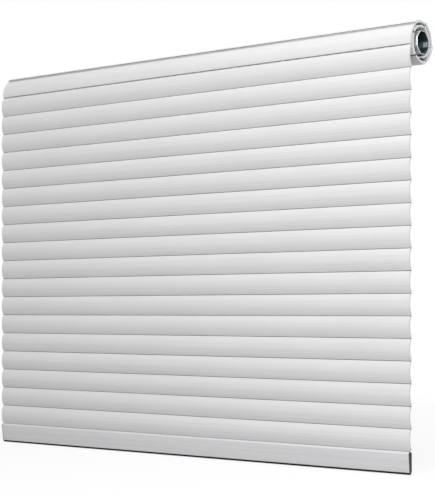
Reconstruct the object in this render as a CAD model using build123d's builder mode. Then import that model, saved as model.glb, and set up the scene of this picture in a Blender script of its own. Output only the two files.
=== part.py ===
from build123d import *
import os
from math import asin, atan2, cos, degrees, floor, hypot, pi, radians, sin, sqrt

# An exterior roller shutter: hinged hollow slats that hang in front of the roll they wind on.
# X runs along the shaft, -Y is the weather side, +Z is up, and the origin is on the shaft's axis
# at the middle of its length. Millimetres and degrees.

# Curtain
curtain_width = 1000
slat_pitch = 39
hanging_slats = 18
wound_slats = 9
overrun = 1

# Slat section: the bead at the top of a slat hooks into the socket at the bottom of the one above
bead_radius = 1.3
bead_sides = 16
bead_clearance = 0.15
socket_wall = 0.75
neck_thickness = 0.8
neck_swing = 24
shoulder_radius = 4
shoulder_depth_share = 0.66
lip_clearance = 0.25
lip_depth_share = 0.72
bulge = 7.2
body_thickness = 3.6
skin = 0.7
web_height_shares = (0.36, 0.64)
rear_top_angle = 8
rear_foot_angle = 158
lip_root_angle = 50

# Light slots punched through the neck
slot_length = 11.5
slot_height = 1.9
slot_drop = 0.1
slot_pitch = 22
slot_end_margin = 9
slotted_wound_slats = 1
slotted_hanging_slats = 1

# Octagonal shaft
shaft_sides = 8
shaft_overhang = 2
shaft_across_flats = 40
shaft_wall = 0.6
shaft_corner_chamfer = 0.8
punch_width = 7.7
punch_height = 8.7
punch_end_distance = 6.1
punch_spaces = 16

# Winding: where the curtain leaves the roll, and how closely the layers lie
first_layer_clearance = 0.33666
layer_gap = 0.9
loose_layer_gap = 2.4
drop_angle = 9
bar_fold_share = 0.3

# Hanging springs: steel bands hooked into the shaft that carry the first slat
spring_thickness = 0.6
spring_width = 24
spring_clearance = 0.35
spring_foot_width = 6
spring_tongue_height = 2.5
spring_hook_height = 3
spring_foot_play = 0.3
spring_lead_angle = 15
spring_punches = {"left": 14, "middle": 8, "right": 2}

# End bar with its seal and end caps
bar_height = 40.6
bar_front = 6.3
bar_front_foot = 3
bar_rear = 2.4
bar_slope_height = 3.3
bar_skin = 1
seal_slot_width = 2.2
seal_root_width = 3.8
seal_root_height = 1.4
seal_clearance = 0.1
seal_width = 5
seal_height = 3
seal_corner_radius = 0.8
cap_thickness = 1.6
cap_plug_length = 12
cap_plug_clearance = 0.1

# Derived sizes of the hinge
socket_inner = bead_radius + bead_clearance
socket_outer = socket_inner + socket_wall
shoulder_depth = shoulder_radius * shoulder_depth_share
lip_depth = shoulder_radius * lip_depth_share
lip_radius = shoulder_radius - lip_clearance
lip_drop = sqrt(lip_radius**2 - lip_depth**2)
shaft_corner = shaft_across_flats / 2 / cos(pi / shaft_sides)
shaft_inner_flats = shaft_across_flats - 2 * shaft_wall
first_chord = shaft_corner + first_layer_clearance - (bulge - body_thickness)
first_pivot_radius = hypot(first_chord, slat_pitch / 2)


def around(pivot, radius, angle):
    """Point at a distance from a pivot, its angle counted from straight down towards the room."""
    return (pivot[0] + radius * sin(radians(angle)), pivot[1] - radius * cos(radians(angle)))


# The spiral of pivots

def chord_distance(radius):
    """Distance from the shaft's axis to the middle of a slat with both pivots at this radius."""
    return sqrt(radius**2 - (slat_pitch / 2) ** 2)


def layer_reach(radius):
    """Outermost radius of a wound slat: its lip corner or its bulge."""
    middle = chord_distance(radius)
    return max(hypot(middle + lip_depth, slat_pitch / 2 + lip_drop), middle + bulge)


def next_layer(radius, gap):
    """Pivot radius of the layer that lies on the one given."""
    return hypot(layer_reach(radius) + gap - (bulge - body_thickness), slat_pitch / 2)


def spiral_radius(turns, wound_turns):
    """Pivot radius after a number of turns; past the rest winding the layers lie looser."""
    if turns < 1:
        return first_pivot_radius + (next_layer(first_pivot_radius, layer_gap) - first_pivot_radius) * turns
    gap = layer_gap if turns <= wound_turns else loose_layer_gap
    return next_layer(spiral_radius(turns - 1, wound_turns), gap)


def next_turns(turns, wound_turns):
    """Turns at the next pivot, one slat pitch further along the spiral, by bisection."""
    here = spiral_radius(turns, wound_turns)
    low, high = turns, turns + slat_pitch / here / pi
    for _ in range(50):
        middle = (low + high) / 2
        there = spiral_radius(middle, wound_turns)
        span = sqrt(here**2 + there**2 - 2 * here * there * cos(2 * pi * (middle - turns)))
        low, high = (middle, high) if span < slat_pitch else (low, middle)
    return (low + high) / 2


spiral_turns = [0]
for _ in range(wound_slats):
    spiral_turns.append(next_turns(spiral_turns[-1], len(spiral_turns) * wound_slats))
wound_turns = spiral_turns[-1]
for _ in range(hanging_slats + 1):
    spiral_turns.append(next_turns(spiral_turns[-1], wound_turns))


def roll_point(turns):
    """Pivot on the spiral: the last wound one lies on the weather side, just under the axis."""
    angle = 2 * pi * (wound_turns - turns) - radians(drop_angle)
    radius = spiral_radius(turns, wound_turns)
    return (-radius * cos(angle), radius * sin(angle))


def lean(upper, lower):
    """Turn of a slat from hanging straight down, positive towards the room."""
    return degrees(atan2(lower[0] - upper[0], upper[1] - lower[1]))


rolled_pivots = [roll_point(turns) for turns in spiral_turns]
rolled_leans = [lean(*pair) for pair in zip(rolled_pivots, rolled_pivots[1:])]
rolled_folds = [(after - before) % 360 for before, after in zip(rolled_leans, rolled_leans[1:])]
last_pivot = rolled_pivots[wound_slats]
hang_fold = -rolled_leans[wound_slats - 1] % 360
first_fold = rolled_folds[wound_slats - 1] - hang_fold
pivots = rolled_pivots[: wound_slats + 1]
pivots += [(last_pivot[0], last_pivot[1] - slat_pitch * n) for n in range(1, hanging_slats + 1)]
leans = rolled_leans[:wound_slats] + [0] * hanging_slats
bar_fold = rolled_folds[-1] * bar_fold_share
mouth_end = max(rolled_folds) + neck_swing


# The slat section, hung from its upper pivot at the section's origin

upper_pivot = (0, 0)
lower_pivot = (0, -slat_pitch)
shoulder_front = (-shoulder_depth, -sqrt(shoulder_radius**2 - shoulder_depth**2))
shoulder_front_angle = -degrees(asin(shoulder_depth / shoulder_radius))
shoulder_rear = around(upper_pivot, shoulder_radius, rear_top_angle)
lip_corner = (-lip_depth, -slat_pitch - lip_drop)
front_middle = (-bulge, -slat_pitch / 2)
rear_middle = (body_thickness - bulge, -slat_pitch / 2)
rear_foot = around(lower_pivot, socket_outer, rear_foot_angle)


def add_bead_and_neck(root_depth):
    """Bead on its neck, which the socket above holds."""
    RegularPolygon(bead_radius, bead_sides)
    with Locations((0, -root_depth / 2)):
        Rectangle(neck_thickness, root_depth)


with BuildSketch() as slat_outline:
    with BuildLine():
        front_wall = ThreePointArc(shoulder_front, front_middle, lip_corner)
        Polyline(lip_corner, around(lower_pivot, socket_outer, -lip_root_angle), lower_pivot, rear_foot)
        rear_wall = ThreePointArc(rear_foot, rear_middle, shoulder_rear)
        ThreePointArc(
            shoulder_rear,
            around(upper_pivot, shoulder_radius, (shoulder_front_angle + rear_top_angle) / 2),
            shoulder_front,
        )
    make_face()


def wall_point(wall, inset, height):
    """Point on the inner face of a curved wall at a height."""
    centre = wall.arc_center
    return (centre.X - sqrt((wall.radius - inset) ** 2 - (height - centre.Y) ** 2), height)


chamber_top = -shoulder_radius - skin
chamber_foot = -slat_pitch + socket_outer + skin
web_heights = [-slat_pitch * share for share in web_height_shares]
chamber_tops = [chamber_top] + [height - skin / 2 for height in web_heights]
chamber_feet = [height + skin / 2 for height in web_heights] + [chamber_foot]

with BuildSketch() as slat_chambers:
    for top, foot in zip(chamber_tops, chamber_feet):
        levels = (top, (top + foot) / 2, foot)
        front = [wall_point(front_wall, skin, height) for height in levels]
        rear = [wall_point(rear_wall, -skin, height) for height in reversed(levels)]
        with BuildLine():
            Polyline(*front, *rear, close=True)
        make_face()

with BuildSketch() as slat_section:
    add(slat_outline.sketch)
    with Locations(lower_pivot):
        Circle(socket_outer)
        Circle(socket_inner, mode=Mode.SUBTRACT)
    with BuildLine():
        mouth_start = around(lower_pivot, shoulder_radius, -neck_swing)
        mouth_finish = around(lower_pivot, shoulder_radius, mouth_end)
        Line(lower_pivot, mouth_start)
        CenterArc(lower_pivot, shoulder_radius, -neck_swing - 90, mouth_end + neck_swing)
        Line(mouth_finish, lower_pivot)
    make_face(mode=Mode.SUBTRACT)
    add(slat_chambers.sketch, mode=Mode.SUBTRACT)
    add_bead_and_neck(shoulder_radius + skin / 2)


def hung_plane(index):
    """Section plane of a slat at its upper pivot: local x points to the room, local y up the slat."""
    y, z = pivots[index]
    turn = radians(leans[index])
    return Plane(origin=(0, y, z), x_dir=(0, cos(turn), sin(turn)), z_dir=(1, 0, 0))


def neck_plane(index):
    """Plane of a slat's neck, facing the weather side, centred on its row of slots."""
    y, z = pivots[index]
    turn = radians(leans[index])
    down = bead_radius + slot_drop + slot_height / 2
    centre = (0, y + down * sin(turn), z - down * cos(turn))
    return Plane(origin=centre, x_dir=(1, 0, 0), z_dir=(0, -cos(turn), -sin(turn)))


slot_count = floor((curtain_width - 2 * slot_end_margin - slot_length) / slot_pitch) + 1

os.makedirs("parts", exist_ok=True)
first_slotted = wound_slats - slotted_wound_slats
last_slotted = wound_slats + slotted_hanging_slats
for index in range(wound_slats + hanging_slats):
    with BuildPart() as slat:
        with BuildSketch(hung_plane(index)):
            add(slat_section.sketch)
        extrude(amount=curtain_width / 2, both=True)
        if first_slotted <= index < last_slotted:
            with BuildSketch(neck_plane(index)):
                with GridLocations(slot_pitch, 0, slot_count, 1):
                    Rectangle(slot_length, slot_height)
            extrude(amount=neck_thickness, both=True, mode=Mode.SUBTRACT)
    slat.part.label = f"slat_{index + 1:02d}"
    export_step(slat.part, f"parts/{slat.part.label}.step")


# The shaft, punched along the flat that faces the room

shaft_length = curtain_width + 2 * shaft_overhang
punch_pitch = (shaft_length - 2 * punch_end_distance) / punch_spaces

with BuildPart() as shaft:
    with BuildSketch(Plane.YZ):
        RegularPolygon(shaft_across_flats / 2, shaft_sides, major_radius=False, rotation=180 / shaft_sides)
        chamfer(vertices(), shaft_corner_chamfer)
        offset(amount=-shaft_wall, mode=Mode.SUBTRACT)
    extrude(amount=shaft_length / 2, both=True)
    with BuildSketch(Plane.XZ.offset(-shaft_across_flats / 2)):
        with GridLocations(punch_pitch, 0, punch_spaces + 1, 1):
            Rectangle(punch_width, punch_height)
    extrude(amount=2 * shaft_wall, both=True, mode=Mode.SUBTRACT)
shaft.part.label = "shaft"
export_step(shaft.part, "parts/shaft.step")


# A hanging spring hooks into a punched hole, follows the shaft's flats and holds the first slat's bead

flat_turn = 360 / shaft_sides
hook_pivot = pivots[0]
hook_turn = degrees(atan2(hook_pivot[1], hook_pivot[0])) % 360
hook_turn += 0 if hook_turn > 180 else 360
band_face = shaft_across_flats / 2 + spring_clearance
band_back = band_face + spring_thickness
band_start = punch_height / 2 + spring_tongue_height
corner_turns = [flat_turn * (n + 1 / 2) for n in range(2 * shaft_sides)]
corner_turns = [turn for turn in corner_turns if turn < hook_turn - spring_lead_angle]
foot_top = punch_height / 2 - spring_foot_play
foot_face = shaft_inner_flats / 2 - spring_foot_play


def band_corners(flat_distance):
    """Corners of the band on one of its faces, each over a corner of the shaft."""
    radius = flat_distance / cos(pi / shaft_sides)
    return [(radius * cos(radians(turn)), radius * sin(radians(turn))) for turn in corner_turns]


inner_corners = band_corners(band_face)
outer_corners = band_corners(band_back)
hook_run = atan2(hook_pivot[1] - inner_corners[-1][1], hook_pivot[0] - inner_corners[-1][0])
hook_side = (spring_thickness * sin(hook_run), -spring_thickness * cos(hook_run))
hook_end = (hook_pivot[0] + hook_side[0], hook_pivot[1] + hook_side[1])


def build_spring(name, punch):
    """One band-steel spring at the given punched hole, counted from the right end."""
    centre_x = shaft_length / 2 - punch_end_distance - punch * punch_pitch
    section = Plane.YZ.offset(centre_x)
    with BuildPart() as spring:
        with BuildSketch(section):
            with BuildLine():
                Polyline(
                    (band_face, band_start), *inner_corners, hook_pivot,
                    hook_end, *reversed(outer_corners), (band_back, band_start),
                    close=True,
                )
            make_face()
            with Locations(hook_pivot):
                RegularPolygon(socket_outer, bead_sides)
                RegularPolygon(socket_inner, bead_sides, major_radius=False, mode=Mode.SUBTRACT)
            with BuildLine():
                reach = 2 * shoulder_radius
                Polyline(
                    hook_pivot,
                    around(hook_pivot, reach, leans[0] - 2 * neck_swing),
                    around(hook_pivot, reach, leans[0] + 2 * neck_swing),
                    close=True,
                )
            make_face(mode=Mode.SUBTRACT)
        extrude(amount=spring_width / 2, both=True)
        with BuildSketch(section):
            with BuildLine():
                Polyline(
                    (band_face, band_start),
                    (band_back, band_start),
                    (band_back, foot_top - spring_thickness),
                    (foot_face - spring_thickness, foot_top - spring_thickness),
                    (foot_face - spring_thickness, foot_top + spring_hook_height),
                    (foot_face, foot_top + spring_hook_height),
                    (foot_face, foot_top),
                    (band_face, foot_top),
                    close=True,
                )
            make_face()
        extrude(amount=spring_foot_width / 2, both=True)
    spring.part.label = f"hanging_spring_{name}"
    export_step(spring.part, f"parts/{spring.part.label}.step")


for name, punch in spring_punches.items():
    build_spring(name, punch)


# The end bar, its seal and its end caps

bar_pivot = pivots[-1]
bar_plane = Plane(origin=(0, *bar_pivot), x_dir=(0, 1, 0), z_dir=(1, 0, 0))
bar_shoulder_z = shoulder_front[1] - bar_slope_height
bar_middle_foot = (bar_rear - bar_front_foot) / 2

with BuildSketch() as bar_outline:
    with BuildLine():
        Polyline(
            shoulder_front,
            (-bar_front, bar_shoulder_z),
            (-bar_front_foot, -bar_height),
            (bar_rear, -bar_height),
            (bar_rear, -shoulder_radius - bar_slope_height / 2),
            shoulder_rear,
        )
        ThreePointArc(
            shoulder_rear,
            around(upper_pivot, shoulder_radius, (shoulder_front_angle + rear_top_angle) / 2),
            shoulder_front,
        )
    make_face()

with BuildSketch() as bar_hollow:
    add(bar_outline.sketch)
    offset(amount=-bar_skin, mode=Mode.REPLACE)
    hollow_foot = -bar_height + seal_root_height + 2 * bar_skin
    hollow_top = -shoulder_radius - bar_skin
    with Locations((0, (hollow_top + hollow_foot) / 2)):
        Rectangle(4 * bar_front, hollow_top - hollow_foot, mode=Mode.INTERSECT)
    with Locations((0, (hollow_top + hollow_foot) / 2)):
        Rectangle(4 * bar_front, bar_skin, mode=Mode.SUBTRACT)

bar_length = curtain_width - 2 * cap_thickness

with BuildPart() as end_bar:
    with BuildSketch(bar_plane):
        add(bar_outline.sketch)
        add(bar_hollow.sketch, mode=Mode.SUBTRACT)
        add_bead_and_neck(shoulder_radius + bar_skin / 2)
        with Locations((bar_middle_foot, -bar_height + bar_skin / 2)):
            Rectangle(seal_slot_width, bar_skin + overrun, mode=Mode.SUBTRACT)
        with Locations((bar_middle_foot, -bar_height + bar_skin + seal_root_height / 2)):
            Rectangle(seal_root_width, seal_root_height, mode=Mode.SUBTRACT)
    extrude(amount=bar_length / 2, both=True)
end_bar.part.label = "end_bar"
export_step(end_bar.part, "parts/end_bar.step")

with BuildPart() as bottom_seal:
    with BuildSketch(bar_plane):
        with Locations((bar_middle_foot, -bar_height - seal_height / 2)):
            Rectangle(seal_width, seal_height)
        fillet(vertices().group_by(Axis.Y)[0], seal_corner_radius)
        with Locations((bar_middle_foot, -bar_height + bar_skin / 2)):
            Rectangle(seal_slot_width - 2 * seal_clearance, bar_skin + 2 * seal_clearance)
        with Locations((bar_middle_foot, -bar_height + bar_skin + seal_root_height / 2)):
            Rectangle(seal_root_width - 2 * seal_clearance, seal_root_height - 2 * seal_clearance)
    extrude(amount=bar_length / 2, both=True)
bottom_seal.part.label = "bottom_seal"
export_step(bottom_seal.part, "parts/bottom_seal.step")

for name, side in (("left", -1), ("right", 1)):
    with BuildPart() as end_cap:
        with BuildSketch(bar_plane.offset(side * bar_length / 2)):
            add(bar_outline.sketch)
        extrude(amount=side * cap_thickness)
        with BuildSketch(bar_plane.offset(side * bar_length / 2)):
            add(bar_hollow.sketch)
            offset(amount=-cap_plug_clearance, mode=Mode.REPLACE)
        extrude(amount=-side * cap_plug_length)
    end_cap.part.label = f"end_cap_{name}"
    export_step(end_cap.part, f"parts/{end_cap.part.label}.step")


# The hinges, for the record: where each pivot lies and how far each one folds when wound up
print("hinges", list(zip(pivots[wound_slats:], [first_fold] + rolled_folds[wound_slats:-1] + [bar_fold])))
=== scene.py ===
import logging
from dataclasses import dataclass, replace
from enum import Enum
from math import asin, atan2, cos, degrees, hypot, pi, radians, sin, sqrt

import bmesh
import bpy
from mathutils import Matrix, Vector


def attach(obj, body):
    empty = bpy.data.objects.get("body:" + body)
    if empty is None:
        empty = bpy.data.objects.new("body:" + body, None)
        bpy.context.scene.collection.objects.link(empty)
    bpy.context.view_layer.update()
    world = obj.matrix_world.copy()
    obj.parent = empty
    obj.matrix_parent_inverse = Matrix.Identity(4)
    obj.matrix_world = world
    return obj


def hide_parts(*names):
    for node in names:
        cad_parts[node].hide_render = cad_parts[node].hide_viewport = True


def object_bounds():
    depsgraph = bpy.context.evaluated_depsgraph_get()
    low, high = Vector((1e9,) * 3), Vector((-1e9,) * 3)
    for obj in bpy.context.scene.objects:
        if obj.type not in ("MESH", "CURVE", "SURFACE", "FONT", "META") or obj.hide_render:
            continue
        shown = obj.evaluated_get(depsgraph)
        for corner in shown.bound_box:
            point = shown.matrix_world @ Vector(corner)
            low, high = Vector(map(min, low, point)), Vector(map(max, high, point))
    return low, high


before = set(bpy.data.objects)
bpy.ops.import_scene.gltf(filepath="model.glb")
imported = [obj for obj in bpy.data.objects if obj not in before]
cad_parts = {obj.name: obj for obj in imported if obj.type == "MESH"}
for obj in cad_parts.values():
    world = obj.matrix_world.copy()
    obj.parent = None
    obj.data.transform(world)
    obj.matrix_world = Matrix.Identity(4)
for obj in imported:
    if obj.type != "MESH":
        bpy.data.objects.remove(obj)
cad_low, cad_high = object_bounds()

log = logging.getLogger("shutter")
logging.basicConfig(level=logging.INFO, format="%(message)s")

Point = tuple[float, float]
Triple = tuple[float, float, float]
Colour = tuple[float, float, float]
Mesh = bmesh.types.BMesh
Piece = bpy.types.Object
Socket = bpy.types.NodeSocket
Inputs = dict[str, float | Triple]

MM = 0.001
ALONG = Vector((1, 0, 0))
FULL_TURN = 360
# Millimetres: points that are one, points that are on a line, and room in a test of place
SAME, NEAR, MARGIN = 0.001, 0.01, 0.1
SMOOTH_ANGLE = 28
NOISE_LOW, NOISE_HIGH = 0.3, 0.7


class Body(Enum):
    """The moving groups that are named here; the hanging slats are bodies of their own."""

    ROLL = "roll"
    BAR = "end_bar"


class Side(Enum):
    """The two ends of the curtain, as signs along the shaft."""

    LEFT = -1
    RIGHT = 1


@dataclass(frozen=True)
class Grain:
    """A finish's noise: repeats per metre along each axis, octaves, and the fine ones' strength."""

    scale: Triple
    detail: float
    rough: float = 0.5


@dataclass(frozen=True)
class Relief:
    """How far a finish's noise stands out: its strength, and its depth in metres."""

    strength: float
    depth: float


def largest(tree: bpy.types.NodeTree, *values: Socket) -> Socket:
    """Largest of some values.

    Args:
        tree: the node tree that they are in.
        values: the values.

    Returns:
        The largest value's socket.
    """
    result = values[0]
    for value in values[1:]:
        node = tree.nodes.new("ShaderNodeMath")
        node.operation = "MAXIMUM"
        tree.links.new(result, node.inputs[0])
        tree.links.new(value, node.inputs[1])
        result = node.outputs["Value"]
    return result


class Shader:
    """A material's node tree with its main shader, built up node by node."""

    def __init__(self, name: str, colour: Colour, roughness: float, metal: float = 0.0) -> None:
        """Starts a material.

        Args:
            name: the material's name.
            colour: linear base colour.
            roughness: roughness of the main shader.
            metal: how metallic the surface is.
        """
        self.material = bpy.data.materials.new(name)
        self.material.use_nodes = True
        self.tree = self.material.node_tree
        self.main = next(n for n in self.tree.nodes if n.type == "BSDF_PRINCIPLED")
        self.main.inputs["Base Color"].default_value = (*colour, 1)
        self.main.inputs["Roughness"].default_value = roughness
        self.main.inputs["Metallic"].default_value = metal
        self.place = self.tree.nodes.new("ShaderNodeTexCoord")

    def add(self, kind: str, inputs: Inputs | None = None, **values: object) -> bpy.types.Node:
        """Adds a node.

        Args:
            kind: the node's type.
            inputs: values of its inputs.
            values: properties to set on it.

        Returns:
            The new node.
        """
        node = self.tree.nodes.new(kind)
        for name, value in values.items():
            setattr(node, name, value)
        for name, value in (inputs or {}).items():
            node.inputs[name].default_value = value
        return node

    def link(self, start: Socket, end: Socket) -> None:
        """Links two sockets."""
        self.tree.links.new(start, end)

    def noise(self, grain: Grain) -> Socket:
        """Noise on the object's own place.

        Args:
            grain: the noise.

        Returns:
            The noise's value.
        """
        mapping = self.add("ShaderNodeMapping", {"Scale": grain.scale})
        self.link(self.place.outputs["Object"], mapping.inputs["Vector"])
        octaves = {"Scale": 1, "Detail": grain.detail, "Roughness": grain.rough}
        noise = self.add("ShaderNodeTexNoise", octaves)
        self.link(mapping.outputs["Vector"], noise.inputs["Vector"])
        return noise.outputs["Fac"]

    def spread(self, value: Socket, low: float = 0, high: float = 1) -> Socket:
        """Maps a noise value to a range.

        Args:
            value: the noise.
            low: result where the noise is low.
            high: result where the noise is high.

        Returns:
            The mapped value.
        """
        ends = {"From Min": NOISE_LOW, "From Max": NOISE_HIGH, "To Min": low, "To Max": high}
        node = self.add("ShaderNodeMapRange", ends)
        self.link(value, node.inputs["Value"])
        return node.outputs["Result"]

    def weigh(self, first: Socket, weight: float, second: Socket) -> Socket:
        """Adds two values.

        Args:
            first: the value that is weighted.
            weight: its weight.
            second: the value that is added.

        Returns:
            The sum.
        """
        node = self.add("ShaderNodeMath", operation="MULTIPLY_ADD")
        self.link(first, node.inputs[0])
        node.inputs[1].default_value = weight
        self.link(second, node.inputs[2])
        return node.outputs["Value"]

    def colour(self, value: Socket, dark: Colour, light: Colour) -> None:
        """Feeds the base colour with a mix of two.

        Args:
            value: how much of the light colour.
            dark: colour at nought.
            light: colour at one.
        """
        node = self.add("ShaderNodeMix", data_type="RGBA")
        colours = [s for s in node.inputs if s.type == "RGBA"]
        colours[0].default_value = (*dark, 1)
        colours[1].default_value = (*light, 1)
        self.link(value, node.inputs["Factor"])
        mixed = next(s for s in node.outputs if s.type == "RGBA")
        self.link(mixed, self.main.inputs["Base Color"])

    def roughen(self, value: Socket, middle: float, wear: Point) -> None:
        """Feeds the roughness with a noise value.

        Args:
            value: the noise.
            middle: roughness of the plain finish.
            wear: what is added to it where the noise is low and where it is high.
        """
        worn = self.spread(value, middle + wear[0], middle + wear[1])
        self.link(worn, self.main.inputs["Roughness"])

    def bump(self, height: Socket, relief: Relief) -> None:
        """Adds a bump over any bump that is already there.

        Args:
            height: the height value.
            relief: how far it stands out.
        """
        reach = {"Strength": relief.strength, "Distance": relief.depth}
        node = self.add("ShaderNodeBump", reach)
        self.link(height, node.inputs["Height"])
        socket = self.main.inputs["Normal"]
        if socket.is_linked:
            self.link(socket.links[0].from_socket, node.inputs["Normal"])
        self.link(node.outputs["Normal"], socket)


@dataclass(frozen=True)
class ExtrudedPlastic:
    """Pale satin plastic with the faint lengthwise lines that the die leaves."""

    name: str = "slat_plastic"
    light: Colour = (0.80, 0.80, 0.805)
    dark: Colour = (0.735, 0.735, 0.745)
    roughness: float = 0.42
    wear: Point = (-0.06, 0.1)
    lines: Grain = Grain((1.2, 520, 520), 3, 0.6)
    line_relief: Relief = Relief(0.25, 0.00006)
    line_share: float = 0.6
    cloud: Grain = Grain((7, 30, 30), 4)
    waves: Grain = Grain((60, 90, 90), 2)
    wave_relief: Relief = Relief(0.12, 0.0003)

    def material(self) -> bpy.types.Material:
        """The finish as a material.

        Returns:
            The material.
        """
        shader = Shader(self.name, self.light, self.roughness)
        lines, cloud = shader.noise(self.lines), shader.noise(self.cloud)
        clouds = shader.spread(cloud, 0, 1 - self.line_share)
        both = shader.weigh(shader.spread(lines, 0, self.line_share), 1, clouds)
        shader.colour(both, self.dark, self.light)
        shader.roughen(cloud, self.roughness, self.wear)
        shader.bump(lines, self.line_relief)
        shader.bump(shader.noise(self.waves), self.wave_relief)
        return shader.material


@dataclass(frozen=True)
class ZincSteel:
    """Zinc-coated strip steel: a dull blue-grey with a soft spangle."""

    name: str = "shaft_zinc"
    light: Colour = (0.74, 0.77, 0.78)
    dark: Colour = (0.56, 0.60, 0.62)
    roughness: float = 0.42
    wear: Point = (-0.08, 0.16)
    metal: float = 0.75
    spangle_scale: float = 240
    spangle_share: float = 0.35
    cloud: Grain = Grain((20, 60, 60), 5)
    rolling: Grain = Grain((4, 700, 700), 2)
    rolling_relief: Relief = Relief(0.2, 0.00004)

    def material(self) -> bpy.types.Material:
        """The finish as a material.

        Returns:
            The material.
        """
        shader = Shader(self.name, self.light, self.roughness, self.metal)
        spangle = shader.add("ShaderNodeTexVoronoi", {"Scale": self.spangle_scale})
        shader.link(shader.place.outputs["Object"], spangle.inputs["Vector"])
        cloud = shader.noise(self.cloud)
        clouds = shader.spread(cloud, 0, 1 - self.spangle_share)
        both = shader.weigh(spangle.outputs["Color"], self.spangle_share, clouds)
        shader.colour(both, self.dark, self.light)
        shader.roughen(cloud, self.roughness, self.wear)
        shader.bump(shader.noise(self.rolling), self.rolling_relief)
        return shader.material


@dataclass(frozen=True)
class GrainyFinish:
    """A finish whose colour follows one noise, and its roughness the same or a softer one."""

    name: str
    light: Colour
    dark: Colour
    roughness: float
    wear: Point
    grain: Grain
    relief: Relief
    cloud: Grain | None = None
    peel: Grain | None = None
    peel_relief: Relief = Relief(0.12, 0.0001)
    metal: float = 0
    gloss: float = 0.5

    def material(self) -> bpy.types.Material:
        """The finish as a material.

        Returns:
            The material.
        """
        shader = Shader(self.name, self.light, self.roughness, self.metal)
        shader.main.inputs["Specular IOR Level"].default_value = self.gloss
        grain = shader.noise(self.grain)
        shader.colour(shader.spread(grain), self.dark, self.light)
        cloud = shader.noise(self.cloud) if self.cloud else grain
        shader.roughen(cloud, self.roughness, self.wear)
        if self.peel:
            shader.bump(shader.noise(self.peel), self.peel_relief)
        shader.bump(grain, self.relief)
        return shader.material


# The slats' plastic inside a joint, darkened grey as painted shade
JOINT_SHADE = GrainyFinish(
    name="joint_painted_shade", light=(0.34, 0.34, 0.335), dark=(0.2, 0.2, 0.195), roughness=0.75,
    wear=(-0.1, 0.1), grain=Grain((40, 300, 300), 5, 0.6), relief=Relief(0.2, 0.0001),
)
# Blank band steel with fine rolling lines
BAND_STEEL = GrainyFinish(
    name="band_steel", light=(0.52, 0.55, 0.58), dark=(0.34, 0.36, 0.38), roughness=0.3,
    wear=(-0.1, 0.15), grain=Grain((900, 25, 25), 2), relief=Relief(0.3, 0.00004),
    cloud=Grain((70, 70, 70), 4), metal=1,
)
# White stove paint on an extruded bar: an even colour with a slight orange peel
BAR_PAINT = GrainyFinish(
    name="bar_paint", light=(0.79, 0.79, 0.80), dark=(0.70, 0.70, 0.715), roughness=0.34,
    wear=(-0.05, 0.1), grain=Grain((1.5, 260, 260), 3), relief=Relief(0.15, 0.00008),
    cloud=Grain((9, 40, 40), 4), peel=Grain((650, 650, 650), 2),
)
# Matt black rubber, a little chalky
SEAL_RUBBER = GrainyFinish(
    name="seal_rubber", light=(0.022, 0.022, 0.024), dark=(0.008, 0.008, 0.009), roughness=0.8,
    wear=(-0.1, 0.12), grain=Grain((160, 420, 420), 5, 0.65), relief=Relief(0.35, 0.00012),
    gloss=0.15,
)
# Moulded black plastic with a fine eroded texture, and the same in white
CAP_PLASTIC = GrainyFinish(
    name="cap_plastic", light=(0.03, 0.03, 0.033), dark=(0.014, 0.014, 0.016), roughness=0.48,
    wear=(-0.08, 0.12), grain=Grain((1400, 1400, 1400), 2), relief=Relief(0.3, 0.00008),
    cloud=Grain((90, 90, 90), 3),
)
PLUG_PLASTIC = replace(
    CAP_PLASTIC, name="plug_plastic", light=(0.84, 0.84, 0.85), dark=(0.76, 0.76, 0.775),
    roughness=0.5,
)


def points_of(made: list[object]) -> list[bmesh.types.BMVert]:
    """The points among what an operator made."""
    return [v for v in made if isinstance(v, bmesh.types.BMVert)]


def around(pivot: Point, radius: float, angle: float) -> Point:
    """Point about a pivot.

    Args:
        pivot: the centre, in a section's plane.
        radius: distance from it.
        angle: degrees from straight down towards the room.

    Returns:
        The point, in the section's plane.
    """
    return pivot[0] + radius * sin(radians(angle)), pivot[1] - radius * cos(radians(angle))


class Pen:
    """Draws an outline in the plane across the shaft, in millimetres, with bmesh operators."""

    def __init__(self, mesh: Mesh, start: Point) -> None:
        """Puts the pen down.

        Args:
            mesh: the mesh that is drawn in.
            start: first point.
        """
        self.mesh = mesh
        self.first = self.last = mesh.verts.new((0, *start))

    def line(self, *points: Point) -> "Pen":
        """Draws straight lines to points.

        Args:
            points: the points in order.

        Returns:
            The pen.
        """
        for point in points:
            made = bmesh.ops.extrude_vert_indiv(self.mesh, verts=[self.last])["verts"]
            self.last = made[0]
            self.last.co = (0, *point)
        return self

    def arc(self, centre: Point, angle: float, steps: int) -> "Pen":
        """Spins the last point about a centre.

        Args:
            centre: the arc's centre.
            angle: degrees, positive from the room's side upwards.
            steps: number of pieces.

        Returns:
            The pen.
        """
        made = bmesh.ops.spin(
            self.mesh, geom=[self.last], cent=(0, *centre), axis=ALONG, angle=radians(angle),
            steps=steps,
        )
        self.last = points_of(made["geom_last"])[0]
        return self

    def ring(self, centre: Point, steps: int) -> None:
        """Spins the first point right round a centre.

        Args:
            centre: the ring's centre.
            steps: number of pieces.
        """
        bmesh.ops.spin(
            self.mesh, geom=[self.first], cent=(0, *centre), axis=ALONG, angle=2 * pi, steps=steps,
            use_merge=True,
        )

    def close(self) -> None:
        """Joins the last point to the first."""
        if (self.last.co - self.first.co).length < SAME:
            bmesh.ops.weld_verts(self.mesh, targetmap={self.last: self.first})
        else:
            self.mesh.edges.new((self.last, self.first))


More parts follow.
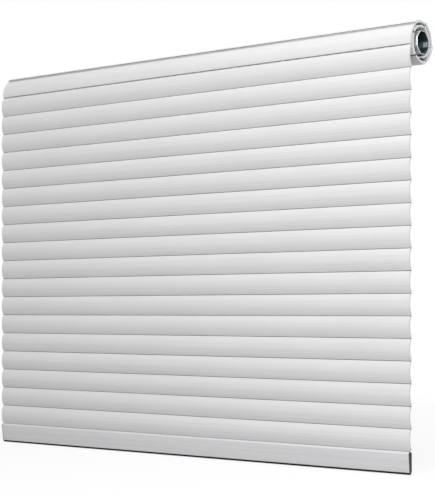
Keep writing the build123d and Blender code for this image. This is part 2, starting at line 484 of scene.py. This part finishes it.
def arc_through(start: Point, middle: Point, end: Point) -> tuple[Point, float]:
    """Circle through three points.

    Args:
        start: first point.
        middle: point between.
        end: last point.

    Returns:
        The centre, and the turn from first to last in degrees.
    """
    (ax, ay), (bx, by), (cx, cy) = start, middle, end
    a, b, c = ax**2 + ay**2, bx**2 + by**2, cx**2 + cy**2
    d = 2 * (ax * (by - cy) + bx * (cy - ay) + cx * (ay - by))
    x = (a * (by - cy) + b * (cy - ay) + c * (ay - by)) / d
    y = (a * (cx - bx) + b * (ax - cx) + c * (bx - ax)) / d
    turn = degrees(atan2(cy - y, cx - x) - atan2(ay - y, ax - x))
    half = FULL_TURN / 2
    return (x, y), (turn + half) % FULL_TURN - half


@dataclass(frozen=True)
class Wall:
    """A curved wall of a section, as an arc that bulges towards the weather."""

    centre: Point
    radius: float

    @classmethod
    def through(cls, start: Point, middle: Point, end: Point) -> "Wall":
        """The wall through three points."""
        centre = arc_through(start, middle, end)[0]
        return cls(centre, hypot(start[0] - centre[0], start[1] - centre[1]))

    def inset(self, depth: float) -> "Wall":
        """The same wall, further in."""
        return replace(self, radius=self.radius - depth)

    def turn(self, height: float) -> float:
        """Angle of the wall's point at a height, above the level of its centre."""
        return degrees(asin((height - self.centre[1]) / self.radius))

    def at(self, height: float) -> Point:
        """The wall's point at a height."""
        return self.centre[0] - sqrt(self.radius**2 - (height - self.centre[1]) ** 2), height


class Section:
    """A run of extrusion: outlines in the plane across the shaft, drawn out along it."""

    def __init__(self) -> None:
        """Starts an empty section."""
        self.mesh = bmesh.new()

    def pen(self, start: Point) -> Pen:
        """Starts an outline."""
        return Pen(self.mesh, start)

    def draw_out(self, low: float, high: float) -> list[bmesh.types.BMEdge]:
        """Extrudes the outlines along the shaft and closes the ends.

        Args:
            low: left end, in millimetres.
            high: right end.

        Returns:
            The long edges.
        """
        mesh = self.mesh
        rims = list(mesh.edges)
        bmesh.ops.translate(mesh, verts=mesh.verts, vec=(low, 0, 0))
        made = bmesh.ops.extrude_edge_only(mesh, edges=rims)["geom"]
        bmesh.ops.translate(mesh, verts=points_of(made), vec=(high - low, 0, 0))
        far = [e for e in made if isinstance(e, bmesh.types.BMEdge) and e.is_boundary]
        bmesh.ops.triangle_fill(mesh, use_beauty=True, edges=[e for e in rims if e.is_valid])
        bmesh.ops.triangle_fill(mesh, use_beauty=True, edges=far)
        bmesh.ops.recalc_face_normals(mesh, faces=mesh.faces)
        return [e for e in mesh.edges if abs(e.verts[0].co.x - e.verts[1].co.x) > (high - low) / 2]


def round_edges(mesh: Mesh, edges: list[bmesh.types.BMEdge], size: float, steps: int) -> None:
    """Rounds edges.

    Args:
        mesh: the mesh.
        edges: the edges.
        size: how far the rounding reaches.
        steps: pieces across the rounding.
    """
    bmesh.ops.bevel(
        mesh, geom=edges, offset=size, offset_type="OFFSET", segments=steps, profile=0.5,
        affect="EDGES", material=-1, clamp_overlap=True,
    )


def joined(*parts: Mesh) -> Mesh:
    """Joins meshes into one and frees them.

    Args:
        parts: the meshes.

    Returns:
        The whole mesh.
    """
    whole = bmesh.new()
    for part in parts:
        data = bpy.data.meshes.new("part")
        part.to_mesh(data)
        whole.from_mesh(data)
        bpy.data.meshes.remove(data)
        part.free()
    return whole


def set_piece(name: str, mesh: Mesh, place: Matrix, finish: bpy.types.Material) -> Piece:
    """Makes a piece from a mesh in millimetres.

    Args:
        name: the piece's name.
        mesh: its mesh, which stays usable.
        place: where the mesh goes, in millimetres.
        finish: its material.

    Returns:
        The object, at the origin with its place in its mesh.
    """
    data = bpy.data.meshes.new(name)
    mesh.to_mesh(data)
    data.transform(Matrix.Scale(MM, 4) @ place)
    data.polygons.foreach_set("use_smooth", [True] * len(data.polygons))
    data.set_sharp_from_angle(angle=radians(SMOOTH_ANGLE))
    data.materials.append(finish)
    piece = bpy.data.objects.new(name, data)
    bpy.context.scene.collection.objects.link(piece)
    return piece


@dataclass
class Slat:
    """One slat's section, hung from its upper pivot, with the row of light slots in its neck."""

    length: float = 1000
    pitch: float = 39
    bead: float = 1.3
    bead_steps: int = 20
    socket_inner: float = 1.45
    socket_outer: float = 2.2
    neck: float = 0.8
    neck_swing: float = 24
    neck_top_share: float = 0.9
    neck_sink: float = 0.3
    shoulder: float = 4
    shoulder_depth: float = 2.64
    shoulder_steps: int = 9
    lip_radius: float = 3.75
    lip_depth: float = 2.88
    lip_steps: int = 3
    bulge: float = 7.2
    body: float = 3.6
    skin: float = 0.7
    web_shares: tuple[float, ...] = (0.36, 0.64)
    chamber_steps: int = 4
    front_steps: int = 9
    rear_steps: int = 20
    groove_shares: tuple[float, ...] = (0.459, 0.764)
    groove_depth: float = 0.19
    groove_half: float = 1.2
    edge: float = 0.25
    edge_steps: int = 3
    plug_length: float = 14
    plug_play: float = 0.05
    plug_set_back: float = 0.15
    rear_top_angle: float = 8
    rear_foot_angle: float = 158
    lip_root_angle: float = 50
    mouth_end: float = 83
    mouth_steps: int = 26
    back_steps: int = 8
    slot_length: float = 11.5
    slot_height: float = 1.9
    slot_drop: float = 0.1
    slot_pitch: float = 22
    slot_steps: int = 6
    slots: int = 45
    shade_tilt: float = 0.3
    end_tilt: float = 0.5

    @property
    def lip_drop(self) -> float:
        """How far the lip's tip hangs under the lower pivot."""
        return sqrt(self.lip_radius**2 - self.lip_depth**2)

    @property
    def front_edge(self) -> Point:
        """The shoulder's front edge, under the upper pivot."""
        return -self.shoulder_depth, -sqrt(self.shoulder**2 - self.shoulder_depth**2)

    @property
    def shoulder_turn(self) -> float:
        """Degrees from the shoulder's rear end to its front edge."""
        return -degrees(asin(self.shoulder_depth / self.shoulder)) - self.rear_top_angle

    @property
    def neck_ends(self) -> Point:
        """Heights of the neck's top, inside the bead, and its foot, inside the shoulder."""
        return -self.bead * self.neck_top_share, -self.shoulder - self.neck_sink

    def walls(self) -> tuple[tuple[Point, Point, Point], tuple[Point, Point, Point]]:
        """The two curved walls.

        Returns:
            The front and the rear wall, each as start, middle and end.
        """
        foot = (0, -self.pitch)
        front = (
            self.front_edge,
            (-self.bulge, -self.pitch / 2),
            (-self.lip_depth, -self.pitch - self.lip_drop),
        )
        rear = (
            around(foot, self.socket_outer, self.rear_foot_angle),
            (self.body - self.bulge, -self.pitch / 2),
            around((0, 0), self.shoulder, self.rear_top_angle),
        )
        return front, rear

    def chambers(self, section: Section, play: float = 0) -> None:
        """Draws the hollow chambers between the webs.

        Args:
            section: the section to draw in.
            play: how much smaller than the chambers the outlines are.
        """
        front, rear = (Wall.through(*points) for points in self.walls())
        front, rear = front.inset(self.skin + play), rear.inset(-self.skin - play)
        webs = [-self.pitch * share for share in self.web_shares]
        tops = [-self.shoulder - self.skin] + [web - self.skin / 2 for web in webs]
        feet = [web + self.skin / 2 for web in webs]
        feet.append(-self.pitch + self.socket_outer + self.skin)
        for top, foot in zip(tops, feet):
            high, low = top - play, foot + play
            down, up = front.turn(high) - front.turn(low), rear.turn(low) - rear.turn(high)
            pen = section.pen(front.at(high)).arc(front.centre, down, self.chamber_steps)
            pen.line(rear.at(low)).arc(rear.centre, up, self.chamber_steps).close()

    def hull(self) -> Mesh:
        """The slat's walls, chambers, lip and socket.

        Returns:
            The mesh.
        """
        front, rear = self.walls()
        foot = (0, -self.pitch)
        section = Section()
        pen = section.pen(front[0])
        wall, height = Wall.through(*front), front[0][1]
        for share in self.groove_shares:
            groove = -self.pitch * share
            start, end = groove + self.groove_half, groove - self.groove_half
            pen.arc(wall.centre, wall.turn(height) - wall.turn(start), self.front_steps)
            pen.line(wall.inset(self.groove_depth).at(groove), wall.at(end))
            height = end
        pen.arc(wall.centre, wall.turn(height) - wall.turn(front[2][1]), self.front_steps)
        pen.line(around(foot, self.socket_outer, -self.lip_root_angle))
        pen.arc(foot, self.lip_root_angle - self.neck_swing, self.lip_steps)
        pen.line(around(foot, self.socket_inner, -self.neck_swing))
        pen.arc(foot, self.mouth_end + self.neck_swing - FULL_TURN, self.mouth_steps)
        pen.line(around(foot, self.socket_outer, self.mouth_end))
        pen.arc(foot, self.rear_foot_angle - self.mouth_end, self.back_steps)
        centre, turn = arc_through(*rear)
        pen.arc(centre, turn, self.rear_steps)
        pen.arc((0, 0), self.shoulder_turn, self.shoulder_steps).close()
        self.chambers(section)
        edges = section.draw_out(-self.length / 2, self.length / 2)
        sharp = [Vector(front[0]), Vector(front[2])]
        corners = [
            e for e in edges for point in sharp if (e.verts[0].co.yz - point).length < NEAR
        ]
        round_edges(section.mesh, corners, self.edge, self.edge_steps)
        return section.mesh

    def end_plugs(self) -> Mesh:
        """The plugs that close the chambers at both ends.

        Returns:
            The mesh.
        """
        ends = (self.length / 2 - self.plug_set_back, self.length / 2 - self.plug_length)
        sections = []
        for side in Side:
            section = Section()
            self.chambers(section, self.plug_play)
            section.draw_out(*sorted(side.value * end for end in ends))
            sections.append(section.mesh)
        return joined(*sections)

    def bead_rod(self) -> Mesh:
        """The bead along the slat's top.

        Returns:
            The mesh.
        """
        section = Section()
        section.pen((0, self.bead)).ring((0, 0), self.bead_steps)
        section.draw_out(-self.length / 2, self.length / 2)
        return section.mesh

    def slot(self, mesh: Mesh, x: float, side: float) -> None:
        """Draws one round-ended slot on the neck's front.

        Args:
            mesh: the neck's mesh.
            x: the slot's middle along the slat.
            side: depth of the neck's front.
        """
        middle = -self.bead - self.slot_drop - self.slot_height / 2
        reach, radius = (self.slot_length - self.slot_height) / 2, self.slot_height / 2
        start = end = mesh.verts.new((x + reach, side, middle - radius))
        for direction in (1, -1):
            made = bmesh.ops.spin(
                mesh, geom=[end], cent=(x + direction * reach, side, middle), axis=(0, -1, 0),
                angle=pi, steps=self.slot_steps,
            )
            end = points_of(made["geom_last"])[0]
            if direction > 0:
                end = bmesh.ops.extrude_vert_indiv(mesh, verts=[end])["verts"][0]
                end.co.x = x - reach
        mesh.edges.new((end, start))

    def neck_plate(self) -> Mesh:
        """The neck with its row of round-ended slots.

        Returns:
            The mesh.
        """
        mesh = bmesh.new()
        half, side = self.length / 2, -self.neck / 2
        top, foot = self.neck_ends
        places = ((-half, top), (half, top), (half, foot), (-half, foot))
        corners = [mesh.verts.new((x, side, z)) for x, z in places]
        for start, end in zip(corners, corners[1:] + corners[:1]):
            mesh.edges.new((start, end))
        for index in range(self.slots):
            self.slot(mesh, (index - (self.slots - 1) / 2) * self.slot_pitch, side)
        bmesh.ops.triangle_fill(mesh, use_beauty=True, edges=mesh.edges)
        made = bmesh.ops.extrude_face_region(mesh, geom=mesh.faces)["geom"]
        bmesh.ops.translate(mesh, verts=points_of(made), vec=(0, self.neck, 0))
        bmesh.ops.recalc_face_normals(mesh, faces=mesh.faces)
        return mesh

    def mesh(self, shut: bool) -> Mesh:
        """The whole slat, with painted shade as its second material inside the joints.

        Args:
            shut: whether the neck stays inside the joint above; then the neck, the lip's underside
                and the trough get painted shade too.

        Returns:
            The mesh, hung from its upper pivot at the origin.
        """
        hull, neck = self.hull(), self.neck_plate()
        foot = Vector((0, -self.pitch))
        for face in hull.faces:
            place, normal = face.calc_center_median().yz, face.normal
            reach = (place - foot).length
            socket = reach < (self.socket_inner + self.socket_outer) / 2
            lip = normal.z < -self.shade_tilt < normal.y and place.x < 0 and reach < self.lip_radius
            trough = normal.z > self.shade_tilt and place.length < self.shoulder + MARGIN
            # Painted shade: always on the socket's inside, and on shut slats also on the lip's
            # underside and the trough, never on the end faces
            inside = socket or shut and (lip or trough)
            face.material_index = int(inside and abs(normal.x) < self.end_tilt)
        # The whole neck of a shut slat gets painted shade
        for face in neck.faces:
            face.material_index = int(shut)
        return joined(hull, self.bead_rod(), neck)


@dataclass
class Winding:
    """Where the slats hang and lie: a spiral of pivots, then a straight fall."""

    slat: Slat
    wound: int = 9
    hanging: int = 18
    first_radius: float = 26.8
    layer_gap: float = 0.9
    drop_angle: float = 9
    halvings: int = 50

    def next_layer(self, radius: float) -> float:
        """Pivot radius of the layer that lies on the one given.

        Args:
            radius: pivot radius of the layer below.

        Returns:
            The next pivot radius.
        """
        slat = self.slat
        middle = sqrt(radius**2 - (slat.pitch / 2) ** 2)
        lip_reach = hypot(middle + slat.lip_depth, slat.pitch / 2 + slat.lip_drop)
        reach = max(lip_reach, middle + slat.bulge)
        return hypot(reach + self.layer_gap - (slat.bulge - slat.body), slat.pitch / 2)

    def radius(self, turns: float) -> float:
        """Pivot radius after a number of turns.

        Args:
            turns: turns from the first pivot.

        Returns:
            The radius.
        """
        if turns < 1:
            rise = self.next_layer(self.first_radius) - self.first_radius
            return self.first_radius + rise * turns
        return self.next_layer(self.radius(turns - 1))

    def places(self) -> list[Triple]:
        """Works out every pivot.

        Returns:
            For each slat and for the end bar, its pivot and its lean in degrees.
        """
        turns = [0.0]
        for _ in range(self.wound):
            here = self.radius(turns[-1])
            low, high = turns[-1], turns[-1] + self.slat.pitch / here / pi
            for _ in range(self.halvings):
                middle = (low + high) / 2
                there = self.radius(middle)
                angle = 2 * pi * (middle - turns[-1])
                span = sqrt(here**2 + there**2 - 2 * here * there * cos(angle))
                low, high = (middle, high) if span < self.slat.pitch else (low, middle)
            turns.append((low + high) / 2)
        pivots = []
        for turn in turns:
            angle = 2 * pi * (turns[-1] - turn) - radians(self.drop_angle)
            pivots.append((-self.radius(turn) * cos(angle), self.radius(turn) * sin(angle)))
        leans = [degrees(atan2(b[0] - a[0], a[1] - b[1])) for a, b in zip(pivots, pivots[1:])]
        y, z = pivots[-1]
        pivots += [(y, z - self.slat.pitch * n) for n in range(1, self.hanging + 1)]
        leans += [0] * (self.hanging + 1)
        return [(*pivot, lean) for pivot, lean in zip(pivots, leans)]


def hung(place: Triple) -> Matrix:
    """Matrix from a section's pivot to its place.

    Args:
        place: pivot across the shaft, its height, and the lean in degrees.

    Returns:
        The matrix, in millimetres.
    """
    lean = Matrix.Rotation(radians(place[2]), 4, "X")
    return Matrix.Translation((0, place[0], place[1])) @ lean


@dataclass
class Curtain:
    """All the slats, wound and hanging; only the two necks at the bend show their full slots."""

    slat: Slat
    winding: Winding
    shut_slot_height: float = 0.65
    shut_slot_drop: float = 0.05
    finish: ExtrudedPlastic = ExtrudedPlastic()
    # Painted shade for the insides of the joints
    joint_shade_finish: GrainyFinish = JOINT_SHADE
    plug_finish: GrainyFinish = PLUG_PLASTIC

    def build(self) -> list[Piece]:
        """Makes every slat with its end plugs and lets them ride on the slat's body.

        Returns:
            The pieces.
        """
        pieces = []
        material, plug_material = self.finish.material(), self.plug_finish.material()
        joint_shade_material = self.joint_shade_finish.material()
        shut_slat = replace(
            self.slat, slot_height=self.shut_slot_height, slot_drop=self.shut_slot_drop
        )
        open_mesh, shut_mesh = self.slat.mesh(False), shut_slat.mesh(True)
        plugs = self.slat.end_plugs()
        places = self.winding.places()[:-1]
        wound = self.winding.wound
        for number, place in enumerate(places, 1):
            node = f"slat_{number:02d}"
            body = Body.ROLL.value if number <= wound else node
            mesh = open_mesh if number in (wound, wound + 1) else shut_mesh
            piece = set_piece(f"{node}_profile", mesh, hung(place), material)
            # The second material is the painted shade inside the joints
            piece.data.materials.append(joint_shade_material)
            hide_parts(node)
            ends = set_piece(f"{node}_end_plugs", plugs, hung(place), plug_material)
            for made in (piece, ends):
                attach(made, body)
                pieces.append(made)
        for mesh in (open_mesh, shut_mesh, plugs):
            mesh.free()
        return pieces


@dataclass
class Shaft:
    """The octagonal tube with its row of punched holes."""

    length: float = 1004
    sides: int = 8
    flats: float = 40
    wall: float = 0.6
    corner: float = 1.4
    corner_steps: int = 4
    corner_angle: float = 30
    hole_width: float = 7.7
    hole_height: float = 8.7
    end_distance: float = 6.1
    spaces: int = 16
    cut_tolerance: float = 0.0001
    finish: ZincSteel = ZincSteel()
    # The bore's dark zinc colour is painted shade
    bore_shade_finish: ZincSteel = ZincSteel(
        name="bore_zinc_painted_shade", light=(0.10, 0.15, 0.165), dark=(0.035, 0.06, 0.07), roughness=0.5
    )

    def tube(self) -> Mesh:
        """The tube's outer skin, cut open at the holes.

        Returns:
            The mesh.
        """
        mesh = bmesh.new()
        turn = Matrix.Rotation(pi / self.sides, 4, "X") @ Matrix.Rotation(pi / 2, 4, "Y")
        corner_radius = self.flats / 2 / cos(pi / self.sides)
        bmesh.ops.create_circle(mesh, segments=self.sides, radius=corner_radius, matrix=turn)
        bmesh.ops.translate(mesh, verts=mesh.verts, vec=(-self.length / 2, 0, 0))
        made = bmesh.ops.extrude_edge_only(mesh, edges=mesh.edges)["geom"]
        bmesh.ops.translate(mesh, verts=points_of(made), vec=(self.length, 0, 0))
        pitch = (self.length - 2 * self.end_distance) / self.spaces
        centres = [(n - self.spaces / 2) * pitch for n in range(self.spaces + 1)]
        half_width, half_height = self.hole_width / 2, self.hole_height / 2
        cuts = [((x + side * half_width, 0, 0), (1, 0, 0)) for x in centres for side in (-1, 1)]
        cuts += [((0, 0, side * half_height), (0, 0, 1)) for side in (-1, 1)]
        for point, normal in cuts:
            bmesh.ops.bisect_plane(
                mesh, geom=[*mesh.verts, *mesh.edges, *mesh.faces], dist=self.cut_tolerance,
                plane_co=point, plane_no=normal,
            )
        holes = []
        for face in mesh.faces:
            x, y, z = face.calc_center_median()
            near = min(abs(x - centre) for centre in centres)
            if y > self.flats / 2 - MARGIN and abs(z) < half_height and near < half_width:
                holes.append(face)
        bmesh.ops.delete(mesh, geom=holes, context="FACES")
        bent = [e for e in mesh.edges if len(e.link_faces) == 2]
        corners = [e for e in bent if e.calc_face_angle() > radians(self.corner_angle)]
        round_edges(mesh, corners, self.corner, self.corner_steps)
        bmesh.ops.recalc_face_normals(mesh, faces=mesh.faces)
        return mesh

    def build(self) -> list[Piece]:
        """Makes the shaft with its wall, with painted shade on the inside.

        Returns:
            The one piece.
        """
        mesh = self.tube()
        piece = set_piece("shaft_tube", mesh, Matrix.Identity(4), self.finish.material())
        mesh.free()
        wall = piece.modifiers.new("wall", "SOLIDIFY")
        wall.thickness = self.wall * MM
        wall.offset = -1
        # The wall's inner faces take the second material, the painted shade
        wall.material_offset = 1
        piece.data.materials.append(self.bore_shade_finish.material())
        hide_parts("shaft")
        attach(piece, Body.ROLL.value)
        return [piece]


@dataclass
class Springs:
    """The band springs between the shaft and the first slat."""

    names: tuple[str, ...] = ("left", "middle", "right")
    finish: GrainyFinish = BAND_STEEL

    def build(self) -> list[Piece]:
        """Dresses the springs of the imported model.

        Returns:
            The springs.
        """
        material = self.finish.material()
        springs = [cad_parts[f"hanging_spring_{name}"] for name in self.names]
        for spring in springs:
            spring.data.materials.clear()
            spring.data.materials.append(material)
        return springs


@dataclass
class EndBar:
    """The bottom bar with its rubber seal and its two end caps."""

    slat: Slat
    place: Triple
    length: float = 996.8
    height: float = 39.4
    front: float = 6.3
    front_foot: float = 3
    rear: float = 2.4
    slope: float = 3.3
    skin: float = 1
    edge: float = 0.5
    edge_steps: int = 4
    edge_angle: float = 17
    slot_width: float = 2.2
    root_width: float = 3.8
    root_height: float = 1.4
    seal_width: float = 5
    seal_height: float = 3.4
    seal_edge: float = 0.8
    play: float = 0.1
    cap: float = 1.6
    cap_edge: float = 0.4
    cap_edge_steps: int = 3
    rim_angle: float = 57
    plug: float = 12
    paint: GrainyFinish = BAR_PAINT
    rubber: GrainyFinish = SEAL_RUBBER
    plastic: GrainyFinish = CAP_PLASTIC

    @property
    def middle_foot(self) -> float:
        """Middle of the bar's underside."""
        return (self.rear - self.front_foot) / 2

    def outline(self, section: Section, groove: bool) -> None:
        """Draws the bar's outline.

        Args:
            section: the section to draw in.
            groove: whether the seal's groove is cut into the underside.
        """
        slat, foot = self.slat, -self.height
        front = slat.front_edge
        pen = section.pen(front)
        pen.line((-self.front, front[1] - self.slope), (-self.front_foot, foot))
        if groove:
            m, slot, root = self.middle_foot, self.slot_width / 2, self.root_width / 2
            inner, top = foot + self.skin, foot + self.skin + self.root_height
            pen.line((m - slot, foot), (m - slot, inner), (m - root, inner), (m - root, top))
            pen.line((m + root, top), (m + root, inner), (m + slot, inner), (m + slot, foot))
        pen.line((self.rear, foot), (self.rear, -slat.shoulder - self.slope / 2))
        pen.line(around((0, 0), slat.shoulder, slat.rear_top_angle))
        pen.arc((0, 0), slat.shoulder_turn, slat.shoulder_steps).close()

    def face(self, height: float) -> float:
        """Depth of the bar's front face at a height.

        Args:
            height: the height.

        Returns:
            The depth.
        """
        rise = self.height + self.slat.front_edge[1] - self.slope
        slant = (self.front - self.front_foot) / rise
        return -self.front_foot - (self.height + height) * slant

    def chambers(self, section: Section, inset: float) -> None:
        """Draws the two chambers.

        Args:
            section: the section to draw in.
            inset: wall left around them.
        """
        ceiling, floor = -self.slat.shoulder, -self.height + self.root_height + self.skin
        middle, back = (ceiling + floor) / 2, self.rear - inset
        highs, lows = (ceiling - inset, middle - inset / 2), (middle + inset / 2, floor + inset)
        for high, low in zip(highs, lows):
            pen = section.pen((self.face(high) + inset, high))
            pen.line((self.face(low) + inset, low), (back, low), (back, high)).close()

    def bar(self) -> Mesh:
        """The bar's mesh.

        Returns:
            The mesh.
        """
        section = Section()
        self.outline(section, True)
        self.chambers(section, self.skin)
        outer = []
        for edge in section.draw_out(-self.length / 2, self.length / 2):
            _, y, z = edge.verts[0].co
            at_faces = y < -self.front + MARGIN or y > self.rear - MARGIN
            at_foot = z < MARGIN - self.height
            sharp = edge.calc_face_angle(0) > radians(self.edge_angle)
            if sharp and (at_faces or at_foot) and abs(y - self.middle_foot) > self.slot_width:
                outer.append(edge)
        round_edges(section.mesh, outer, self.edge, self.edge_steps)
        return section.mesh

    def bead_and_neck(self) -> Mesh:
        """The bead and the neck along the bar's top.

        Returns:
            The mesh.
        """
        slat = self.slat
        section = Section()
        half = slat.neck / 2
        top, foot = slat.neck_ends
        section.pen((0, slat.bead)).ring((0, 0), slat.bead_steps)
        section.pen((-half, top)).line((-half, foot), (half, foot), (half, top)).close()
        section.draw_out(-self.length / 2, self.length / 2)
        return section.mesh

    def seal(self) -> Mesh:
        """The seal's lip and the root that fills the groove.

        Returns:
            The mesh.
        """
        section = Section()
        foot, m, play = -self.height, self.middle_foot, self.play
        slot, root = self.slot_width / 2 - play, self.root_width / 2 - play
        inner, top = foot + self.skin + play, foot + self.skin + self.root_height - play
        wide, low = self.seal_width / 2, foot - self.seal_height
        pen = section.pen((m - wide, foot)).line((m - wide, low), (m + wide, low))
        pen.line((m + wide, foot), (m + slot, foot), (m + slot, inner), (m + root, inner))
        pen.line((m + root, top), (m - root, top), (m - root, inner), (m - slot, inner))
        pen.line((m - slot, foot)).close()
        edges = section.draw_out(-self.length / 2, self.length / 2)
        lowest = [e for e in edges if e.verts[0].co.z < low + MARGIN]
        round_edges(section.mesh, lowest, self.seal_edge, self.edge_steps)
        return section.mesh

    def end_cap(self, side: Side) -> Mesh:
        """One end cap: a plate over the bar's end and two plugs in its chambers.

        Args:
            side: which end.

        Returns:
            The mesh.
        """
        start = side.value * self.length / 2
        outside = start + side.value * self.cap
        plate, plugs = Section(), Section()
        self.outline(plate, False)
        plate.draw_out(*sorted((start, outside)))
        rim = [
            e for e in plate.mesh.edges
            if all(abs(v.co.x - outside) < NEAR for v in e.verts)
            and e.calc_face_angle(0) > radians(self.rim_angle)
        ]
        round_edges(plate.mesh, rim, self.cap_edge, self.cap_edge_steps)
        self.chambers(plugs, self.skin + self.play)
        plugs.draw_out(*sorted((start, start - side.value * self.plug)))
        return joined(plate.mesh, plugs.mesh)

    def build(self) -> list[Piece]:
        """Makes the bar, its bead, its seal and its caps.

        Returns:
            The pieces.
        """
        pieces = []
        place = hung(self.place)
        paint, rubber = self.paint.material(), self.rubber.material()
        plastic = self.plastic.material()
        left, right = self.end_cap(Side.LEFT), self.end_cap(Side.RIGHT)
        made = [
            ("end_bar_profile", self.bar(), paint, "end_bar", "end_bar"),
            ("end_bar_bead", self.bead_and_neck(), paint, "end_bar", "end_bar"),
            ("bottom_seal_lip", self.seal(), rubber, "bottom_seal", "seal_rubber"),
            ("end_cap_plate_left", left, plastic, "end_cap_left", "cap_plastic"),
            ("end_cap_plate_right", right, plastic, "end_cap_right", "cap_plastic"),
        ]
        for name, mesh, material, node, slot in made:
            piece = set_piece(name, mesh, place, material)
            mesh.free()
            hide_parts(node)
            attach(piece, Body.BAR.value)
            pieces.append(piece)
        return pieces


@dataclass(frozen=True)
class Lamp:
    """A soft square lamp that looks at the shutter's middle; metres and watts."""

    name: str
    place: Triple
    size: float
    power: float
    aim: Triple = (0, -0.04, -0.36)

    def build(self) -> None:
        """Sets the lamp up."""
        data = bpy.data.lights.new(self.name, "AREA")
        data.energy = self.power
        data.size = self.size
        lamp = bpy.data.objects.new(self.name, data)
        lamp.location = self.place
        view = Vector(self.aim) - Vector(self.place)
        lamp.rotation_euler = view.to_track_quat("-Z", "Y").to_euler()
        bpy.context.scene.collection.objects.link(lamp)


@dataclass
class Studio:
    """Floor, backdrop light, lamps and camera."""

    floor_height: float
    floor_half: float = 30
    floor_light: Colour = (0.45, 0.45, 0.45)
    floor_seen: Colour = (1, 1, 1)
    shadow_reach: Point = (0.8, 2.4)
    glow: float = 0.78
    sky_light: float = 0.4
    camera_place: Triple = (1.65306, -2.10757, -0.46781)
    camera_turn: float = 37.23
    lens: float = 98.98
    shift: float = 0.1277
    clip: Point = (0.05, 100)
    lamps: tuple[Lamp, ...] = (
        Lamp("high", (0.8, -1.0, 1.8), 1.0, 16.5),
        Lamp("key", (2.2, -1.6, 1.0), 1.0, 32.5),
        Lamp("front", (0.9, -2.6, 0.4), 1.0, 15),
        Lamp("back", (0.6, 2.4, 1.6), 2.0, 20),
    )

    def floor_finish(self) -> bpy.types.Material:
        """Matt white that keeps a shadow near the shutter and glows like the backdrop far off.

        Returns:
            The material.
        """
        shader = Shader("floor_pale", (0.9, 0.9, 0.9), 0.9)
        shader.main.inputs["Specular IOR Level"].default_value = 0
        path = shader.add("ShaderNodeLightPath").outputs
        shader.colour(path["Is Camera Ray"], self.floor_light, self.floor_seen)
        far = shader.add("ShaderNodeVectorMath", operation="LENGTH")
        shader.link(shader.place.outputs["Object"], far.inputs[0])
        near, away = self.shadow_reach
        ends = {"From Min": near, "From Max": away, "To Min": self.glow}
        fade = shader.add("ShaderNodeMapRange", ends, interpolation_type="SMOOTHSTEP")
        shader.link(far.outputs["Value"], fade.inputs["Value"])
        share = shader.add("ShaderNodeMath", operation="MULTIPLY")
        seen = largest(shader.tree, path["Is Camera Ray"], path["Is Glossy Ray"])
        shader.link(seen, share.inputs[0])
        shader.link(fade.outputs["Result"], share.inputs[1])
        mix = shader.add("ShaderNodeMixShader")
        shader.link(share.outputs["Value"], mix.inputs["Fac"])
        shader.link(shader.main.outputs["BSDF"], mix.inputs[1])
        shader.link(shader.add("ShaderNodeEmission").outputs["Emission"], mix.inputs[2])
        out = next(n for n in shader.tree.nodes if n.type == "OUTPUT_MATERIAL")
        shader.link(mix.outputs["Shader"], out.inputs["Surface"])
        return shader.material

    def floor(self) -> None:
        """A pale floor that keeps the shutter's shadow."""
        mesh = bmesh.new()
        bmesh.ops.create_grid(mesh, x_segments=1, y_segments=1, size=self.floor_half)
        data = bpy.data.meshes.new("floor")
        mesh.to_mesh(data)
        mesh.free()
        data.transform(Matrix.Translation((0, 0, self.floor_height)))
        data.materials.append(self.floor_finish())
        floor = bpy.data.objects.new("floor", data)
        bpy.context.scene.collection.objects.link(floor)

    def world(self) -> None:
        """White to the eye, softer as a light."""
        world = bpy.data.worlds.new("studio")
        bpy.context.scene.world = world
        world.use_nodes = True
        tree = world.node_tree
        sky = next(n for n in tree.nodes if n.type == "BACKGROUND")
        path = tree.nodes.new("ShaderNodeLightPath").outputs
        seen = largest(
            tree, path["Is Camera Ray"], path["Is Glossy Ray"], path["Is Transmission Ray"]
        )
        strength = tree.nodes.new("ShaderNodeMapRange")
        strength.inputs["To Min"].default_value = self.sky_light
        tree.links.new(seen, strength.inputs["Value"])
        tree.links.new(strength.outputs["Result"], sky.inputs["Strength"])
        sky.inputs["Color"].default_value = (1, 1, 1, 1)

    def camera(self) -> None:
        """The camera at the photograph's viewing angle."""
        data = bpy.data.cameras.new("camera")
        data.lens = self.lens
        data.shift_y = self.shift
        data.clip_start, data.clip_end = self.clip
        camera = bpy.data.objects.new("camera", data)
        camera.location = self.camera_place
        camera.rotation_euler = (pi / 2, 0, radians(self.camera_turn))
        bpy.context.scene.collection.objects.link(camera)
        bpy.context.scene.camera = camera

    def build(self) -> None:
        """Sets the whole studio up."""
        self.floor()
        self.world()
        for lamp in self.lamps:
            lamp.build()
        self.camera()
        bpy.context.scene.view_settings.view_transform = "Standard"
        log.info("studio: floor at %.3f m", self.floor_height)


def main() -> None:
    """Builds the shutter and reports its pieces, then sets the studio round it."""
    slat = Slat()
    winding = Winding(slat)
    bar = EndBar(slat, winding.places()[-1])
    for assembly in (Curtain(slat, winding), Shaft(), Springs(), bar):
        for piece in assembly.build():
            log.info("%s: %d faces", piece.name, len(piece.data.polygons))
    floor_gap = 0.5 * MM
    Studio(cad_low.z - floor_gap).build()


if __name__ == "__main__":
    main()
